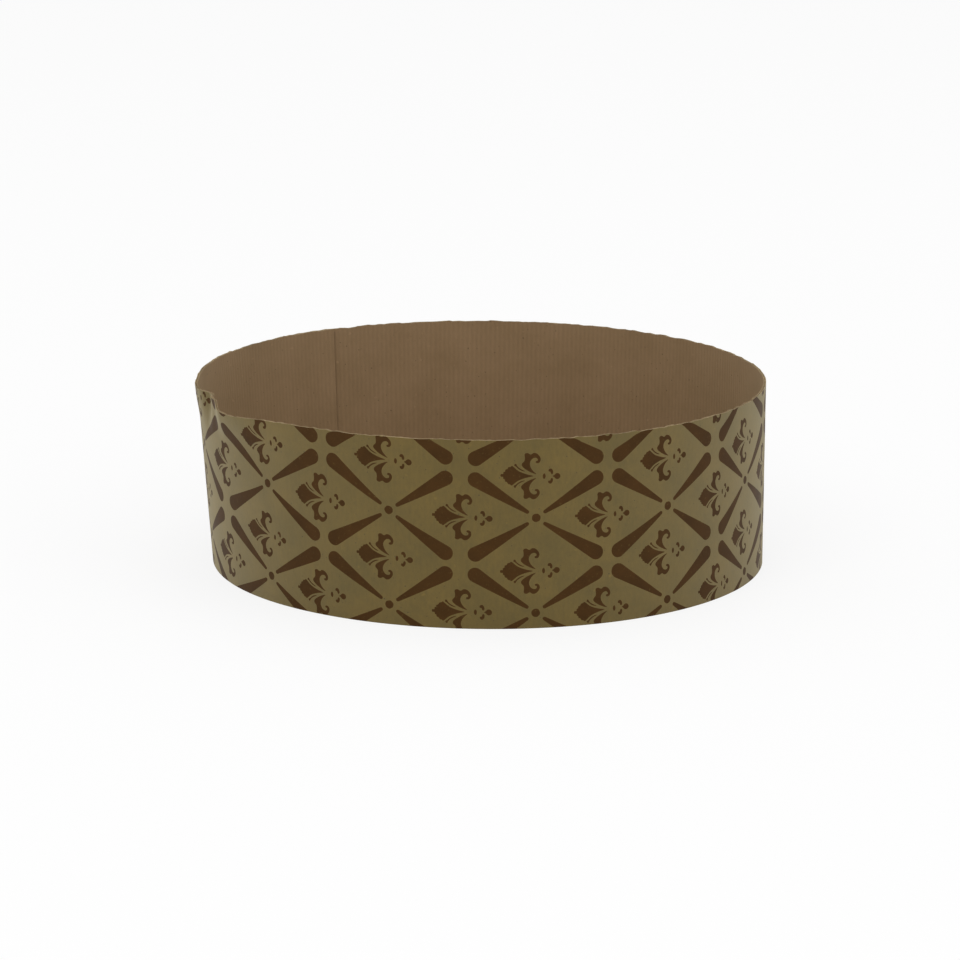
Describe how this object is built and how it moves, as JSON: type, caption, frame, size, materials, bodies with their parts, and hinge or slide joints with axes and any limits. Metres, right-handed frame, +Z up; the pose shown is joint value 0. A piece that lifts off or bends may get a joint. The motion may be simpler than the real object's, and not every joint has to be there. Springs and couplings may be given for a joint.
{
  "type": "paper baking mold",
  "caption": "Round, slightly flared baking mold: a printed brown card ring glued at a lap, with a pleated paper base glued inside.",
  "frame": {"origin": "centre of the underside, on the surface that the mold stands on", "axes": "+Z up out of the open mouth; -Y towards the viewer of the picture; +X to the viewer's right"},
  "size_m": [0.1852, 0.185, 0.06],
  "materials": {
    "printed_kraft": "matte brown micro-flute card with a dark brown print outside",
    "plain_kraft": "matte brown baking paper"
  },
  "bodies": {
    "root": {"side_wall": "printed_kraft", "base_disc": "plain_kraft"}
  },
  "joints": []
}
